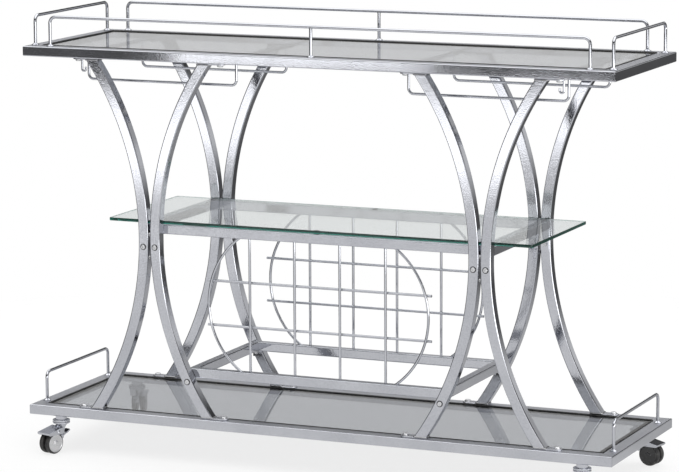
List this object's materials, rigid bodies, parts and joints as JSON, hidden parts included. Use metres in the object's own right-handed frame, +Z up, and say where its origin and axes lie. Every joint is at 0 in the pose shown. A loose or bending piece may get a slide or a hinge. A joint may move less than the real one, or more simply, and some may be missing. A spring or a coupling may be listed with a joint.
{
  "type": "bar cart",
  "caption": "Long chrome bar cart with inset glass trays, curved back-to-back legs, a glass shelf, a wire bottle rack, guard rails and swivel casters",
  "frame": {"origin": "on the floor under the middle of the trays", "axes": "+X along the length to the right, +Y to the back, +Z up"},
  "size_m": [1.2, 0.431, 0.854],
  "materials": {
    "chrome": "hammered chrome plate on steel tube and wire",
    "tray_glass": "clear grey tempered glass",
    "fixings": "bright zinc-plated screws and nuts",
    "clear_pad": "clear soft pads",
    "shelf_glass": "clear tempered glass with a green edge",
    "wheel_rubber": "black rubber wheels",
    "wheel_face": "pressed metal discs on the front wheels",
    "wheel_face_black": "glossy black discs on the back wheels"
  },
  "bodies": {
    "cart": {"top_tray_frame": "chrome", "top_tray_ledge": "chrome", "top_cross_bars": "chrome", "top_glass": "tray_glass", "base_tray_frame": "chrome", "base_tray_ledge": "chrome", "base_glass": "tray_glass", "tool_hooks": "chrome", "waist_welds": "chrome", "tray_bolts": "fixings", "waist_screws": "fixings", "rack_screws": "fixings", "frame_nuts": "fixings", "shelf_frame": "chrome", "shelf_tabs": "chrome", "shelf_pads": "clear_pad", "shelf_glass": "shelf_glass", "rack_frame": "chrome", "rack_tabs": "chrome", "bottle_grid_front": "chrome", "bottle_grid_back": "chrome", "guard_rail_front": "chrome", "guard_rail_back": "chrome", "guard_rail_left": "chrome", "base_rail_left": "chrome", "hanging_rail_front_left": "chrome", "hanging_rail_back_left": "chrome", "guard_rail_right": "chrome", "base_rail_right": "chrome", "hanging_rail_front_right": "chrome", "hanging_rail_back_right": "chrome", "leg_front_left_outer": "chrome", "leg_front_left_inner": "chrome", "leg_back_left_outer": "chrome", "leg_back_left_inner": "chrome", "leg_front_right_outer": "chrome", "leg_front_right_inner": "chrome", "leg_back_right_outer": "chrome", "leg_back_right_inner": "chrome", "caster_stem_front_left": "chrome", "caster_stem_front_right": "chrome", "caster_stem_back_left": "chrome", "caster_stem_back_right": "chrome"},
    "swivel_front_left": {"caster_swivel_front_left": "chrome", "caster_axle_front_left": "fixings"},
    "wheels_front_left": {"caster_wheels_front_left": "wheel_rubber", "wheel_faces_front_left": "wheel_face"},
    "lever_front_left": {"brake_lever_front_left": "chrome"},
    "swivel_front_right": {"caster_swivel_front_right": "chrome", "caster_axle_front_right": "fixings"},
    "wheels_front_right": {"caster_wheels_front_right": "wheel_rubber", "wheel_faces_front_right": "wheel_face"},
    "lever_front_right": {"brake_lever_front_right": "chrome"},
    "swivel_back_left": {"caster_swivel_back_left": "chrome", "caster_axle_back_left": "fixings"},
    "wheels_back_left": {"caster_wheels_back_left": "wheel_rubber", "wheel_faces_back_left": "wheel_face_black"},
    "lever_back_left": {"brake_lever_back_left": "chrome"},
    "swivel_back_right": {"caster_swivel_back_right": "chrome", "caster_axle_back_right": "fixings"},
    "wheels_back_right": {"caster_wheels_back_right": "wheel_rubber", "wheel_faces_back_right": "wheel_face_black"},
    "lever_back_right": {"brake_lever_back_right": "chrome"}
  },
  "joints": [
    {"name": "front_left_swivel", "type": "hinge", "parent": "cart", "child": "swivel_front_left", "pos_m": [-0.538, -0.164, 0.0592], "axis": [0, 0, 1], "continuous": true},
    {"name": "front_left_roll", "type": "hinge", "parent": "swivel_front_left", "child": "wheels_front_left", "pos_m": [-0.54665, -0.19063, 0.021], "axis": [0.9511, -0.309, 0], "continuous": true},
    {"name": "front_left_brake", "type": "hinge", "parent": "swivel_front_left", "child": "lever_front_left", "pos_m": [-0.53862, -0.1659, 0.029], "axis": [-0.9511, 0.309, 0], "range_deg": [0, 22]},
    {"name": "front_right_swivel", "type": "hinge", "parent": "cart", "child": "swivel_front_right", "pos_m": [0.538, -0.164, 0.0592], "axis": [0, 0, 1], "continuous": true},
    {"name": "front_right_roll", "type": "hinge", "parent": "swivel_front_right", "child": "wheels_front_right", "pos_m": [0.54665, -0.19063, 0.021], "axis": [0.9511, 0.309, 0], "continuous": true},
    {"name": "front_right_brake", "type": "hinge", "parent": "swivel_front_right", "child": "lever_front_right", "pos_m": [0.53862, -0.1659, 0.029], "axis": [-0.9511, -0.309, 0], "range_deg": [0, 22]},
    {"name": "back_left_swivel", "type": "hinge", "parent": "cart", "child": "swivel_back_left", "pos_m": [-0.538, 0.164, 0.0592], "axis": [0, 0, 1], "continuous": true},
    {"name": "back_left_roll", "type": "hinge", "parent": "swivel_back_left", "child": "wheels_back_left", "pos_m": [-0.54665, 0.19063, 0.021], "axis": [-0.9511, -0.309, 0], "continuous": true},
    {"name": "back_left_brake", "type": "hinge", "parent": "swivel_back_left", "child": "lever_back_left", "pos_m": [-0.53862, 0.1659, 0.029], "axis": [0.9511, 0.309, 0], "range_deg": [0, 22]},
    {"name": "back_right_swivel", "type": "hinge", "parent": "cart", "child": "swivel_back_right", "pos_m": [0.538, 0.164, 0.0592], "axis": [0, 0, 1], "continuous": true},
    {"name": "back_right_roll", "type": "hinge", "parent": "swivel_back_right", "child": "wheels_back_right", "pos_m": [0.56558, 0.15914, 0.021], "axis": [0.1736, 0.9848, 0], "continuous": true},
    {"name": "back_right_brake", "type": "hinge", "parent": "swivel_back_right", "child": "lever_back_right", "pos_m": [0.53997, 0.16365, 0.029], "axis": [-0.1736, -0.9848, 0], "range_deg": [0, 22]}
  ]
}
